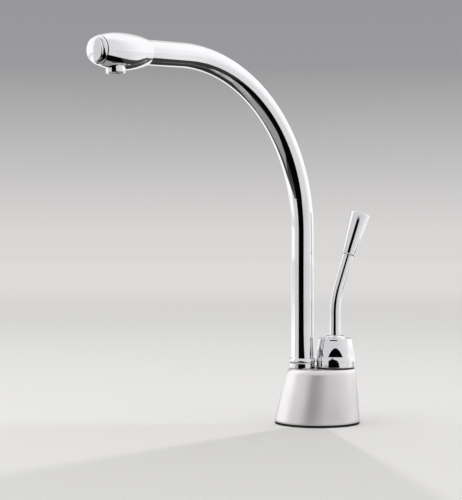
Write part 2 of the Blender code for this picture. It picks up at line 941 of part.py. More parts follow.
def make_set_screw():
    """The grub screw at the back of the hub, which grips the valve's stem."""
    start = stem_square / 2 + seat_gap
    screw = rod_between("hub_set_screw", set_screw_radius, start, hub_flat_reach - seat_gap, pin_steps)
    carried_by(screw, screw_frame)
    hex_reach = set_screw_radius / 2
    socket = rod_between(
        "cut_screw_socket", hex_reach, hub_flat_reach - seat_gap - set_screw_radius, hub_radius, 6
    )
    carried_by(socket, screw_frame)
    cut(screw, as_cutter(socket))
    in_steel(settle(screw))


def rod_path():
    """The rod's centre line in the lever's frame: up, a bend towards +Y, and a straight run."""
    points = [Vector((0, 0, rod_foot_z))]
    for i in range(rod_arc_steps + 1):
        angle = rod_lean * i / rod_arc_steps
        out = rod_bend_radius * (1 - math.cos(angle))
        points.append(Vector((0, out, rod_bend_start + rod_bend_radius * math.sin(angle))))
    heading = Vector((0, math.sin(rod_lean), math.cos(rod_lean)))
    run = rod_straight + knob_bore_depth - seat_gap
    points.append(points[-1] + heading * run)
    return points


def make_lever_rod():
    rod = carried_by(tube_along("lever_rod", rod_path(), rod_radius, rod_sides), lever_frame)
    chromed(settle(rod))


def make_knob():
    """The tapered knob and the ring below it, in a frame on the rod with Z along it."""
    bore = rod_radius + seat_gap
    profile = [(0, knob_length)]
    profile += quarter_round(knob_end_radius, knob_length - knob_end_dome, knob_end_edge)
    profile += [
        (knob_foot_radius, 0),
        (bore, 0),
        (bore, knob_bore_depth),
        (0, knob_bore_depth),
    ]
    knob = carried_by(turned("lever_knob", profile, round_steps), knob_frame)
    chromed(settle(knob))
    ring_top = -seat_gap
    section = quarter_round(knob_ring_radius, ring_top, knob_ring_width / 2)
    section += [
        (knob_ring_radius * knob_ring_foot_share, ring_top - knob_ring_width),
        (bore, ring_top - knob_ring_width),
        (bore, ring_top),
    ]
    ring = carried_by(turned("knob_ring", section, round_steps, closed=True), knob_frame)
    chromed(settle(ring))


def make_valve_body():
    stem_hole = stem_radius + turn_gap
    groove_floor = valve_radius - valve_ring_depth
    half_groove = seal_ring_section + ring_gap
    groove_z = valve_shoulder_z - valve_ring_drop
    section = [
        (valve_neck_radius, valve_top_z),
        (valve_neck_radius, valve_shoulder_z),
        (valve_radius, valve_shoulder_z),
        (valve_radius, groove_z + half_groove),
        (groove_floor, groove_z + half_groove),
        (groove_floor, groove_z - half_groove),
        (valve_radius, groove_z - half_groove),
        (valve_radius, valve_foot_z),
        (valve_chamber_radius, valve_foot_z),
        (valve_chamber_radius, valve_room_top_z),
        (stem_hole, valve_room_top_z),
        (stem_hole, valve_top_z),
    ]
    body = turned("valve_body", section, small_steps, closed=True)
    body.location.y = lever_y
    cut(body, passage_to_valve("cut_valve_window", 2, feed_link_z))
    in_brass(settle(body))
    middle = (valve_bore_radius + groove_floor) / 2
    ring = seal_ring("valve_seal", middle, seal_ring_section, groove_z)
    ring.location.y = lever_y
    in_rubber(settle(ring))


def make_discs():
    """Two ceramic discs with ports: the lower one is fixed and the upper one turns with the stem."""
    radius = valve_chamber_radius - turn_gap
    for name, foot, ports in (("fixed_disc", valve_foot_z, 2), ("turning_disc", turning_disc_z, 1)):
        disc = rod_between(name, radius, foot, foot + disc_thickness, small_steps)
        disc.location.y = lever_y
        for i in range(ports):
            angle = math.pi * i
            port = rod_between(
                f"cut_{name}_port_{i}",
                disc_port_radius,
                foot - cut_over,
                foot + disc_thickness + cut_over,
                pin_steps,
            )
            port.location = (
                disc_port_circle * math.cos(angle),
                lever_y + disc_port_circle * math.sin(angle),
                0,
            )
            cut(disc, as_cutter(port))
        in_ceramic(settle(disc))


def make_stem():
    groove_z = valve_top_z - stem_ring_drop
    groove_floor = stem_radius - stem_ring_depth
    half_groove = seal_ring_section + ring_gap
    profile = [
        (0, stem_top_z),
        (stem_radius, stem_top_z),
        (stem_radius, groove_z + half_groove),
        (groove_floor, groove_z + half_groove),
        (groove_floor, groove_z - half_groove),
        (stem_radius, groove_z - half_groove),
        (stem_radius, stem_foot_z),
        (0, stem_foot_z),
    ]
    stem = carried_by(turned("valve_stem", profile, small_steps), lever_frame)
    half = stem_square / 2
    shoulder = stem_top_z - stem_square_length
    for i in range(4):
        tool = box_between(
            f"cut_stem_side_{i}",
            (half, -stem_radius - cut_over, shoulder),
            (stem_radius + cut_over, stem_radius + cut_over, stem_top_z + cut_over),
        )
        carried_by(tool, hub_frame)
        tool.rotation_euler.z = math.pi / 2 * i
        cut(stem, as_cutter(tool))
    in_brass(settle(stem))
    middle = (stem_radius + turn_gap + groove_floor) / 2
    ring = carried_by(seal_ring("stem_seal", middle, stem_seal_section, groove_z), lever_frame)
    in_rubber(settle(ring))


def make_bonnet_nut():
    """The nut on the valve's neck that holds the shell down, with notches for a spanner."""
    foot = base_height + seat_gap
    top = foot + bonnet_height
    nut = ring_between("bonnet_nut", bonnet_radius, valve_neck_radius + seat_gap, foot, top, small_steps)
    nut.location.y = lever_y
    for i in range(bonnet_notches):
        tool = box_between(
            f"cut_bonnet_notch_{i}",
            (valve_neck_radius, -bonnet_notch / 2, top - bonnet_notch),
            (bonnet_radius + cut_over, bonnet_notch / 2, top + cut_over),
        )
        tool.location.y = lever_y
        tool.rotation_euler.z = math.tau * i / bonnet_notches
        cut(nut, as_cutter(tool))
    in_brass(settle(nut))


def make_glide_washer():
    outer = hub_radius - hub_foot_edge
    washer = ring_between(
        "hub_glide_washer",
        outer,
        outer - glide_washer_width,
        glide_washer_z,
        glide_washer_z + glide_washer_thickness,
        round_steps,
    )
    washer.location.y = lever_y
    in_nylon(settle(washer))


clear_scene()
parts = new_collection("instant_hot_water_tap")
cutters = new_collection("cutters")

no_turn = Matrix.Identity(4)
spout_frame = new_frame(
    "spout_frame", None, (0, column_y, 0), Matrix.Rotation(spout_rest_turn, 4, "Z")
)
lever_frame = new_frame("lever_frame", None, (0, lever_y, 0), no_turn)
hub_frame = new_frame("hub_frame", lever_frame, (0, 0, 0), Matrix.Rotation(hub_turn, 4, "Z"))
head_frame = new_frame(
    "head_frame", spout_frame, spout_path()[-1], Matrix.Rotation(spout_sweep, 4, "X")
)
nose_frame = new_frame("nose_frame", head_frame, (0, -head_droop, head_nose_at), no_turn)
nozzle_frame = new_frame(
    "nozzle_frame", head_frame, (0, 0, nozzle_at), Matrix.Rotation(math.pi / 2, 4, "X")
)
knob_foot = rod_path()[-2] + Vector((0, math.sin(rod_lean), math.cos(rod_lean))) * rod_straight
knob_frame = new_frame("knob_frame", lever_frame, knob_foot, Matrix.Rotation(-rod_lean, 4, "X"))
screw_frame = new_frame(
    "screw_frame",
    hub_frame,
    (0, 0, hub_foot_z + set_screw_height),
    Matrix.Rotation(-math.pi / 2, 4, "Y"),
)

make_base_shell()
make_gasket()
make_manifold()
make_pipes()
make_shank()
make_deck_clamp()
make_spout_tube()
make_collar()
make_spigot()
make_spout_seals()
make_snap_ring()
make_bushing()
make_spout_head()
make_nose()
make_nozzle()
make_lever_hub()
make_set_screw()
make_lever_rod()
make_knob()
make_valve_body()
make_discs()
make_stem()
make_bonnet_nut()
make_glide_washer()
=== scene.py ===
# Instant hot water tap in polished chrome: smooth pieces and finishes round the fixed frame.
import json
import math

import bpy
from mathutils import Matrix, Vector


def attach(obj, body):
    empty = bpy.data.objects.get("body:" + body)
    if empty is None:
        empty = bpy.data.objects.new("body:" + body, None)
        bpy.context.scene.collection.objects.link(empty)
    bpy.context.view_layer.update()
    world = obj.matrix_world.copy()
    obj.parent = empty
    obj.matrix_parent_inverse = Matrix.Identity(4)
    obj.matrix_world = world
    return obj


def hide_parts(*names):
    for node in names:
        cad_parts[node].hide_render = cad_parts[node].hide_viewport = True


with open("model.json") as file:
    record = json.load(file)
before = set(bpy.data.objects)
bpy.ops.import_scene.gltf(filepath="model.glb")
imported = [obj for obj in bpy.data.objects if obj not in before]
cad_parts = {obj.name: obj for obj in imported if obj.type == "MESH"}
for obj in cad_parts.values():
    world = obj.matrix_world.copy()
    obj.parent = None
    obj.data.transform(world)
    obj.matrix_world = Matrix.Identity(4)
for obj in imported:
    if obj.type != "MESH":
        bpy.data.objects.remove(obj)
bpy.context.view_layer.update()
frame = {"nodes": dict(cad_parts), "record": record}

hairGap = 0.0003  # between pieces that touch
weld = 0.000001  # points nearer than this are merged
rimAngle = math.radians(60)  # edges sharper than this are rounded
throughHole = 3  # a drill's length over the thickness that it goes through

# where the frame stands its two upright axes, and how far the spout is turned at rest
placing = {
    "columnY": -0.0106,
    "leverY": 0.0129,
    "spoutTurn": math.radians(42),
}


def spoutPlace():
    return Matrix.Translation((0, placing["columnY"], 0)) @ Matrix.Rotation(placing["spoutTurn"], 4, "Z")


def leverPlace():
    return Matrix.Translation((0, placing["leverY"], 0))


# colours and nodes

def toLinear(part):
    # the sRGB curve
    return part / 12.92 if part <= 0.04045 else ((part + 0.055) / 1.055) ** 2.4


def hexColour(code):
    parts = [int(code[i:i + 2], 16) / 255 for i in (1, 3, 5)]
    return (*[toLinear(part) for part in parts], 1.0)


def addNode(tree, kind, inputs, **settings):
    node = tree.nodes.new("ShaderNode" + kind)
    for name, value in settings.items():
        setattr(node, name, value)
    for name, value in inputs.items():
        if isinstance(value, bpy.types.NodeSocket):
            tree.links.new(value, node.inputs[name])
        else:
            node.inputs[name].default_value = value
    return node


def startFinish(name, metallic):
    finish = bpy.data.materials.new(name)
    finish.use_nodes = True
    tree = finish.node_tree
    shader = tree.nodes["Principled BSDF"]
    shader.inputs["Metallic"].default_value = metallic
    place = addNode(tree, "TexCoord", {}).outputs["Object"]
    return finish, tree, shader, place


# nearly all of a noise texture lies in this range
noiseRange = {"From Min": 0.3, "From Max": 0.7}


def mottle(tree, place, size, low, high, detail=3.0):
    # a soft cloudy value between low and high, in patches of about this size
    noise = addNode(tree, "TexNoise", {"Vector": place, "Scale": 1 / size, "Detail": detail})
    spread = {"Value": noise.outputs["Fac"], "To Min": low, "To Max": high, **noiseRange}
    return addNode(tree, "MapRange", spread).outputs["Result"]


# where a Mix node in colour mode has its two colours and its result
firstColour, secondColour, mixedColour = 6, 7, 2


def coat(tree, shader, factor, tones, rough):
    # two tones mixed by a factor, and a roughness
    colours = {"Factor": factor, firstColour: hexColour(tones[0]), secondColour: hexColour(tones[1])}
    mix = addNode(tree, "Mix", colours, data_type="RGBA")
    tree.links.new(mix.outputs[mixedColour], shader.inputs["Base Color"])
    tree.links.new(rough, shader.inputs["Roughness"])


def raiseBump(tree, shader, height, depth, strength=1.0):
    bump = addNode(tree, "Bump", {"Height": height, "Distance": depth, "Strength": strength})
    tree.links.new(bump.outputs["Normal"], shader.inputs["Normal"])


# Polished chrome plate: buffed brass, then a bright deposit. It gives sharp reflections,
# with a faint polishing ripple and thin smudges that only show where they catch the light.
chromeLook = {
    "bright": "#EBEAEC",
    "dull": "#E3E3E5",
    "smudge": 0.022,
    "roughLow": 0.02,
    "roughHigh": 0.045,
    "ripple": 0.014,
    "rippleDepth": 0.0000004,
}

# The cast base is plated over a finely blasted surface: the same chrome, but its reflections are soft.
satinLook = {
    "bright": "#EFECED",
    "dull": "#E9E6E7",
    "smudge": 0.018,
    "roughLow": 0.32,
    "roughHigh": 0.35,
    "ripple": 0.0006,
    "rippleDepth": 0.0000002,
}


def plateChrome(name, look):
    finish, tree, shader, place = startFinish(name, 1.0)
    smudge = mottle(tree, place, look["smudge"], 0.0, 1.0, detail=4.0)
    rough = mottle(tree, place, look["smudge"] / 2, look["roughLow"], look["roughHigh"], detail=5.0)
    ripple = mottle(tree, place, look["ripple"], 0.0, 1.0, detail=1.0)
    coat(tree, shader, smudge, (look["bright"], look["dull"]), rough)
    raiseBump(tree, shader, ripple, look["rippleDepth"])
    return finish


# Turned and cast brass, unplated: yellow, satin, with fine tool marks round the axis.
brassLook = {
    "fresh": "#D3AE62",
    "aged": "#B08A45",
    "patch": 0.008,
    "mark": 0.0004,
    "markDepth": 0.00001,
    "roughLow": 0.24,
    "roughHigh": 0.40,
}


def turnedBrass():
    look = brassLook
    finish, tree, shader, place = startFinish("turnedBrass", 1.0)
    patch = mottle(tree, place, look["patch"], 0.0, 1.0)
    rough = mottle(tree, place, look["patch"] / 3, look["roughLow"], look["roughHigh"])
    # marks run level, so they are drawn as thin bands in height; at a scale of 1 they lie about 0.3 apart
    bands = {"Vector": place, "Scale": 0.3 / look["mark"], "Distortion": 1.5, "Detail": 2.0}
    marks = addNode(tree, "TexWave", bands, bands_direction="Z").outputs["Fac"]
    coat(tree, shader, patch, (look["fresh"], look["aged"]), rough)
    raiseBump(tree, shader, marks, look["markDepth"], strength=0.4)
    return finish


# Drawn copper tube: pinkish, half bright, with lengthwise die lines and brown tarnish.
copperLook = {
    "fresh": "#D08A68",
    "tarnish": "#96553B",
    "patch": 0.012,
    "lineWidth": 0.0005,
    "lineDepth": 0.000008,
    "lengthwise": 0.04,
    "roughLow": 0.20,
    "roughHigh": 0.42,
}


def drawnCopper():
    look = copperLook
    finish, tree, shader, place = startFinish("drawnCopper", 1.0)
    patch = mottle(tree, place, look["patch"], 0.0, 1.0, detail=5.0)
    rough = mottle(tree, place, look["patch"] / 2, look["roughLow"], look["roughHigh"])
    # stretched along Z, so the noise turns into lines down the tube
    stretch = {"Vector": place, "Scale": (1.0, 1.0, look["lengthwise"])}
    along = addNode(tree, "Mapping", stretch).outputs["Vector"]
    lines = mottle(tree, along, look["lineWidth"], 0.0, 1.0, detail=2.0)
    coat(tree, shader, patch, (look["fresh"], look["tarnish"]), rough)
    raiseBump(tree, shader, lines, look["lineDepth"], strength=0.5)
    return finish


# Stamped stainless steel: grey, with a rolled grain along X.
steelLook = {
    "light": "#B9BBBD",
    "dark": "#9A9CA0",
    "grain": 0.0003,
    "grainDepth": 0.000006,
    "lengthwise": 0.05,
    "roughLow": 0.22,
    "roughHigh": 0.36,
}


def rolledSteel():
    look = steelLook
    finish, tree, shader, place = startFinish("rolledStainlessSteel", 1.0)
    stretch = {"Vector": place, "Scale": (look["lengthwise"], 1.0, 1.0)}
    along = addNode(tree, "Mapping", stretch).outputs["Vector"]
    grain = mottle(tree, along, look["grain"], 0.0, 1.0, detail=2.0)
    rough = mottle(tree, along, look["grain"] * 4, look["roughLow"], look["roughHigh"])
    coat(tree, shader, grain, (look["light"], look["dark"]), rough)
    raiseBump(tree, shader, grain, look["grainDepth"], strength=0.5)
    return finish


# Moulded EPDM rubber: near black, matt, with a fine moulded grain and a little grey dust.
rubberLook = {
    "black": "#141414",
    "dusty": "#242423",
    "patch": 0.006,
    "grain": 0.0004,
    "grainDepth": 0.00002,
    "roughLow": 0.55,
    "roughHigh": 0.75,
}


def mouldedRubber():
    look = rubberLook
    finish, tree, shader, place = startFinish("mouldedRubber", 0.0)
    patch = mottle(tree, place, look["patch"], 0.0, 1.0)
    rough = mottle(tree, place, look["patch"] / 2, look["roughLow"], look["roughHigh"])
    grain = mottle(tree, place, look["grain"], 0.0, 1.0, detail=2.0)
    coat(tree, shader, patch, (look["black"], look["dusty"]), rough)
    raiseBump(tree, shader, grain, look["grainDepth"], strength=0.6)
    return finish


# Alumina ceramic, lapped: off-white and hard, with a soft gloss.
ceramicLook = {"light": "#EDEBE4", "dark": "#E2DFD6", "speck": 0.0006, "roughLow": 0.22, "roughHigh": 0.34}


def lappedCeramic():
    look = ceramicLook
    finish, tree, shader, place = startFinish("lappedCeramic", 0.0)
    speck = mottle(tree, place, look["speck"], 0.0, 1.0)
    rough = mottle(tree, place, look["speck"] * 3, look["roughLow"], look["roughHigh"])
    coat(tree, shader, speck, (look["light"], look["dark"]), rough)
    return finish


# Moulded nylon, coloured black all through: waxy, with a low gloss. On the glide washer under the hub this
# black is also painted shade: it stands for the shaded gap between the hub and the base.
nylonLook = {"light": "#1E1E1F", "dark": "#161617", "cloud": 0.004, "roughLow": 0.38, "roughHigh": 0.5}


def blackNylonAndGapShade():
    look = nylonLook
    finish, tree, shader, place = startFinish("blackNylonAndGapShade", 0.0)
    cloud = mottle(tree, place, look["cloud"], 0.0, 1.0)
    rough = mottle(tree, place, look["cloud"] / 2, look["roughLow"], look["roughHigh"])
    coat(tree, shader, cloud, (look["light"], look["dark"]), rough)
    return finish


finishes = {
    "chrome": plateChrome("polishedChrome", chromeLook),
    "satin": plateChrome("satinChrome", satinLook),
    "brass": turnedBrass(),
    "copper": drawnCopper(),
    "steel": rolledSteel(),
    "rubber": mouldedRubber(),
    "ceramic": lappedCeramic(),
    "nylon": blackNylonAndGapShade(),
}
print("finishes made:", ", ".join(finishes))


# modelling helpers

def toObjectMode():
    if bpy.context.mode != "OBJECT":
        bpy.ops.object.mode_set(mode="OBJECT")


def pick(piece):
    toObjectMode()
    bpy.ops.object.select_all(action="DESELECT")
    piece.select_set(True)
    bpy.context.view_layer.objects.active = piece


def startPrimitive(name, add, **sizes):
    # adds a primitive by itself and opens it in edit mode with all of it selected
    toObjectMode()
    bpy.ops.object.select_all(action="DESELECT")
    add(**sizes)
    piece = bpy.context.object
    piece.name = name
    piece.data.name = name
    bpy.ops.object.mode_set(mode="EDIT")
    bpy.ops.mesh.select_mode(type="VERT")
    bpy.ops.mesh.select_all(action="SELECT")
    return piece


def startCircle(name, sides, radius, fill="NOTHING"):
    add = bpy.ops.mesh.primitive_circle_add
    return startPrimitive(name, add, vertices=sides, radius=radius, fill_type=fill)


def closeUp():
    # merges what meets and turns all faces outwards
    bpy.ops.mesh.select_all(action="SELECT")
    bpy.ops.mesh.remove_doubles(threshold=weld)
    bpy.ops.mesh.normals_make_consistent(inside=False)
    bpy.ops.object.mode_set(mode="OBJECT")


def extrudeBy(move):
    bpy.ops.mesh.extrude_region_move(TRANSFORM_OT_translate={"value": move})


def closeEnds():
    # fills every open rim with a face
    bpy.ops.mesh.select_all(action="DESELECT")
    bpy.ops.mesh.select_mode(type="EDGE")
    bpy.ops.mesh.select_non_manifold()
    bpy.ops.mesh.edge_face_add()
    closeUp()


def startPoint(name, place):
    point = startPrimitive(name, bpy.ops.mesh.primitive_plane_add, size=hairGap)
    bpy.ops.mesh.merge(type="CENTER")
    bpy.ops.transform.translate(value=place)
    return point


def drawOn(moves):
    # extends the selected vertex by one edge per move
    for move in moves:
        bpy.ops.mesh.extrude_vertices_move(TRANSFORM_OT_translate={"value": move})
    bpy.ops.mesh.select_all(action="SELECT")


def turnOutline(name, outline, steps):
    # one vertex is drawn along the outline of (radius, height) points and spun round Z
    piece = startPoint(name, (outline[0][0], 0, outline[0][1]))
    drawOn((point[0] - last[0], 0, point[1] - last[1]) for last, point in zip(outline, outline[1:]))
    bpy.ops.mesh.spin(steps=steps, angle=math.tau, center=(0, 0, 0), axis=(0, 0, 1))
    closeUp()
    return piece


def turnRing(name, outer, inner, low, high, steps, edge):
    # a ring with its four rims rounded by this much
    outline = [(inner, low), (outer, low), (outer, high), (inner, high), (inner, low)]
    ring = turnOutline(name, outline, steps)
    roundRims(ring, edge, segments=3)
    return ring


def applyModifier(piece, kind, **settings):
    pick(piece)
    modifier = piece.modifiers.new(kind.title(), kind)
    for name, value in settings.items():
        setattr(modifier, name, value)
    bpy.ops.object.modifier_apply(modifier=modifier.name)


def roundRims(piece, width, segments):
    applyModifier(piece, "BEVEL", width=width, segments=segments, limit_method="ANGLE", angle_limit=rimAngle)


def cutWith(piece, cutter, operation="DIFFERENCE"):
    applyModifier(piece, "BOOLEAN", object=cutter, operation=operation, solver="EXACT")
    bpy.data.objects.remove(cutter, do_unlink=True)


def drillHole(piece, sides, radius, depth, place, turn=(0, 0, 0)):
    add = bpy.ops.mesh.primitive_cylinder_add
    sizes = {"vertices": sides, "radius": radius, "depth": depth, "location": place, "rotation": turn}
    cutWith(piece, startPrimitive("drill", add, **sizes))


def around(radius, angle, height):
    return radius * math.cos(angle), radius * math.sin(angle), height


# A bent tube rises from its foot, bends towards +Y (side 1) or -Y (side -1) and runs on straight.

def pastBend(size):
    # the tube's direction after its bend
    return Vector((0, size["side"] * math.sin(size["bend"]), math.cos(size["bend"])))


def bendTube(name, size, run):
    tube = startCircle(name, size["sides"], size["radius"])
    bpy.ops.transform.translate(value=(0, 0, size["foot"]))
    extrudeBy((0, 0, size["bendStart"] - size["foot"]))
    bpy.ops.mesh.spin(steps=size["bendSteps"], angle=size["side"] * size["bend"], axis=(1, 0, 0),
                      center=(0, size["side"] * size["bendRadius"], size["bendStart"]))
    extrudeBy(pastBend(size) * run)
    bpy.ops.mesh.select_all(action="SELECT")
    bpy.ops.mesh.remove_doubles(threshold=weld)
    closeEnds()
    return tube


def tubeEnd(size, run):
    # the place this far past the bend, with Z along the tube
    side, bend, radius = size["side"], size["bend"], size["bendRadius"]
    end = Vector((0, side * radius * (1 - math.cos(bend)), size["bendStart"] + radius * math.sin(bend)))
    return Matrix.Translation(end + pastBend(size) * run) @ Matrix.Rotation(-side * bend, 4, "X")


def putInPlace(piece, place):
    pick(piece)
    piece.matrix_world = place
    bpy.ops.object.transform_apply(location=True, rotation=True, scale=True)


def finishPiece(piece, body, node, slotName, sharpAngle=30, finish=None):
    pick(piece)
    bpy.ops.object.transform_apply(location=True, rotation=True, scale=True)
    bpy.ops.object.shade_smooth_by_angle(angle=math.radians(sharpAngle))
    piece.data.materials.clear()
    piece.data.materials.append(finishes[finish or slotName])
    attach(piece, body)
    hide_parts(node)


# points of an outline, as (radius, height)

def arc(middle, radii, first, last, steps):
    # along an ellipse from one angle to another; 0 degrees points outward and 90 points up
    points = []
    for i in range(steps + 1):
        angle = math.radians(first + (last - first) * i / steps)
        points.append((middle[0] + radii[0] * math.cos(angle), middle[1] + radii[1] * math.sin(angle)))
    return points


def quarterTurn(radius, height, size, steps):
    # over a rounded outer rim, from its side up to its top face
    return arc((radius - size, height - size), (size, size), 0, 90, steps)


def dome(radius, foot, rise, steps):
    # over a slightly domed face in to the axis, without the point at its edge
    shares = [1 - i / steps for i in range(1, steps + 1)]
    return [(radius * share, foot + rise * (1 - share**2)) for share in shares]


# the base

baseSizes = {
    "footLength": 0.0604,
    "footWidth": 0.0525,
    "footZ": 0.0018,
    "footBand": 0.0010,
    "height": 0.0390,
    "topLength": 0.0482,
    "topWidth": 0.0446,
    "topShift": 0.00305,
    "edgeHeight": 0.0030,
    "spoutEdge": 0.0026,
    "leverEdge": 0.0004,
    "edgeSteps": 12,
    "crease": 0.0003,
    "wall": 0.0025,
    "spoutHole": 0.0078,
    "valveHole": 0.0061,
    "drillDepth": 0.0160,
    "rimVerts": 160,
    "holeVerts": 64,
}


def baseRing(height, turn=0.0):
    # the casting's middle along Y, its width and length at this height; turn runs over the rounded edge
    size = baseSizes
    bandTop = size["footZ"] + size["footBand"]
    share = max(0, (height - bandTop) / (size["height"] - bandTop))
    inward = 1 - math.cos(turn)
    middle = size["topShift"] * share + inward * (size["spoutEdge"] - size["leverEdge"]) / 2
    inset = inward * (size["spoutEdge"] + size["leverEdge"])
    width = size["footWidth"] + (size["topWidth"] - size["footWidth"]) * share - inset
    length = size["footLength"] + (size["topLength"] - size["footLength"]) * share - inset
    return middle, width, length, height


def makeBase():
    size = baseSizes
    bandTop = size["footZ"] + size["footBand"]
    edgeFoot = size["height"] - size["edgeHeight"]
    crease = size["crease"]
    # thin creases beside each change of slope keep the long sides' reflections straight
    levels = (size["footZ"], bandTop - crease, bandTop, bandTop + crease, edgeFoot - crease)
    rings = [baseRing(level) for level in levels]
    for i in range(size["edgeSteps"] + 1):
        turn = math.pi / 2 * i / size["edgeSteps"]
        rings.append(baseRing(size["height"] - size["edgeHeight"] * (1 - math.sin(turn)), turn))
    casting = startCircle("baseCasting", size["rimVerts"], size["footLength"] / 2)
    bpy.ops.transform.resize(value=(size["footWidth"] / size["footLength"], 1, 1), center_override=(0, 0, 0))
    bpy.ops.transform.translate(value=(0, 0, size["footZ"]))
    for last, (middle, width, length, height) in zip(rings, rings[1:]):
        extrudeBy((0, middle - last[0], height - last[3]))
        bpy.ops.transform.resize(value=(width / last[1], length / last[2], 1),
                                 center_override=(0, middle, height))
    bpy.ops.mesh.edge_face_add()
    closeUp()
    applyModifier(casting, "SOLIDIFY", thickness=size["wall"], offset=-1, use_even_offset=True)
    for radius, y in ((size["spoutHole"], placing["columnY"]), (size["valveHole"], placing["leverY"])):
        drillHole(casting, size["holeVerts"], radius, size["drillDepth"], (0, y, size["height"]))
    finishPiece(casting, "base", "base_shell", "chrome", finish="satin")


gasketSizes = {
    "length": 0.0600,
    "width": 0.0521,
    "hole": 0.0175,
    "thickness": 0.0015,
    "edge": 0.0003,
    "rimVerts": 128,
}


def makeGasket():
    size = gasketSizes
    pad = startCircle("gasketPad", size["rimVerts"], size["length"] / 2)
    bpy.ops.transform.resize(value=(size["width"] / size["length"], 1, 1), center_override=(0, 0, 0))
    bpy.ops.mesh.primitive_circle_add(vertices=size["rimVerts"], radius=size["hole"], fill_type="NOTHING")
    bpy.ops.mesh.select_all(action="SELECT")
    bpy.ops.mesh.bridge_edge_loops()
    extrudeBy((0, 0, size["thickness"]))
    closeUp()
    roundRims(pad, size["edge"], segments=2)
    finishPiece(pad, "base", "base_gasket", "rubber")


glideSizes = {
    "outer": 0.0135,
    "width": 0.0022,
    "low": 0.0393,
    "high": 0.0397,
    "edge": 0.0001,
    "steps": 96,
}


def makeGlideWasher():
    size = glideSizes
    washer = turnRing("glideWasher", size["outer"], size["outer"] - size["width"], size["low"], size["high"],
                      size["steps"], size["edge"])
    putInPlace(washer, leverPlace())
    # the washer's black nylon also paints the shade of the thin gap between the hub and the base
    finishPiece(washer, "base", "hub_glide_washer", "nylon")


makeBase()
makeGasket()
makeGlideWasher()
print("base made")


# the spout

spoutSizes = {
    "radius": 0.0080,
    "foot": 0.0408,
    "bendStart": 0.1363,
    "bendRadius": 0.1117,
    "bend": math.radians(93.6),
    "side": -1,
    "straight": 0.0310,
    "sides": 72,
    "bendSteps": 96,
}


def headPlace():
    # at the tube's end, with Z along the head towards its nose
    return spoutPlace() @ tubeEnd(spoutSizes, spoutSizes["straight"])


def makeGooseneck():
    tube = bendTube("gooseneckTube", spoutSizes, spoutSizes["straight"])
    putInPlace(tube, spoutPlace())
    finishPiece(tube, "spout", "spout_tube", "chrome")


collarSizes = {
    "inner": 0.0080,
    "band": 0.0088,
    "bead": 0.0091,
    "low": 0.0393,
    "bandHeight": 0.0035,
    "beadRise": 0.0014,
    "height": 0.0072,
    "edge": 0.0002,
    "beadSteps": 6,
    "topSteps": 10,
    "steps": 96,
}


def makeCollar():
    size = collarSizes
    low, top = size["low"], size["low"] + size["height"]
    bandTop = low + size["bandHeight"]
    widest = bandTop + size["beadRise"]
    neck = size["band"] - size["edge"]
    bead = (size["bead"] - neck, size["beadRise"])
    closing = (size["bead"] - size["inner"], top - widest)
    outline = [(size["inner"], low), (neck, low), (size["band"], low + size["edge"])]
    # a small step below the bead, then the bead closes in on the tube
    outline += [(size["band"], bandTop - size["edge"]), (neck, bandTop)]
    outline += arc((neck, widest), bead, -90, 0, size["beadSteps"])[1:]
    outline += arc((size["inner"], widest), closing, 0, 90, size["topSteps"])[1:]
    outline.append((size["inner"], low))
    collar = turnOutline("columnCollar", outline, size["steps"])
    putInPlace(collar, spoutPlace())
    finishPiece(collar, "spout", "spout_collar", "chrome")


headSizes = {
    "radius": 0.0109,
    "widest": 0.0220,
    "rearLength": 0.0342,
    "frontLength": 0.0270,
    "noseAt": 0.0371,
    "belly": 0.11,
    "droop": 0.0007,  # how far the nose lies below the head's axis
    "nozzleAt": 0.0249,
    "nozzleHole": 0.0064,
    "holeVerts": 96,
    "rings": 36,
    "steps": 128,
}


def headOutline(place):
    size = headSizes
    length = size["rearLength"] if place < size["widest"] else size["frontLength"]
    return size["radius"] * math.sqrt(1 - ((place - size["widest"]) / length) ** 2)


def makeHead():
    size = headSizes
    outline = [(0, hairGap)]
    for i in range(size["rings"] + 1):
        place = hairGap + (size["noseAt"] - hairGap) * i / size["rings"]
        outline.append((headOutline(place), place))
    outline.append((0, size["noseAt"]))
    head = turnOutline("spoutHeadShell", outline, size["steps"])
    # the underside, towards -Y, is fuller than the top, and the nose droops a little
    for vertex in head.data.vertices:
        share = max(0, vertex.co.z) / size["noseAt"]
        if vertex.co.y < 0:
            vertex.co.y *= 1 + size["belly"] * math.sin(math.pi * share)
        vertex.co.y -= size["droop"] * share**3
    # a pocket for the outlet is drilled into the underside; the drill's middle lies below the skin
    below = (0, -size["radius"] * 1.25, size["nozzleAt"])
    drillHole(head, size["holeVerts"], size["nozzleHole"], size["radius"], below, (math.pi / 2, 0, 0))
    putInPlace(head, headPlace())
    finishPiece(head, "spout", "spout_head", "chrome")


noseSizes = {
    "ringRadius": 0.0087,
    "ringFront": 0.0079,
    "ringWidth": 0.0025,
    "ringCrown": 0.0003,
    "ringInner": 0.0068,
    "ringSteps": 16,
    "capRadius": 0.0074,
    "capEdge": 0.0011,
    "capRound": 0.00066,
    "roundSteps": 6,
    "dome": 0.0012,
    "domeSteps": 16,
    "plug": 0.0060,
    "steps": 128,
}


def nosePlace():
    return headPlace() @ Matrix.Translation((0, -headSizes["droop"], headSizes["noseAt"]))


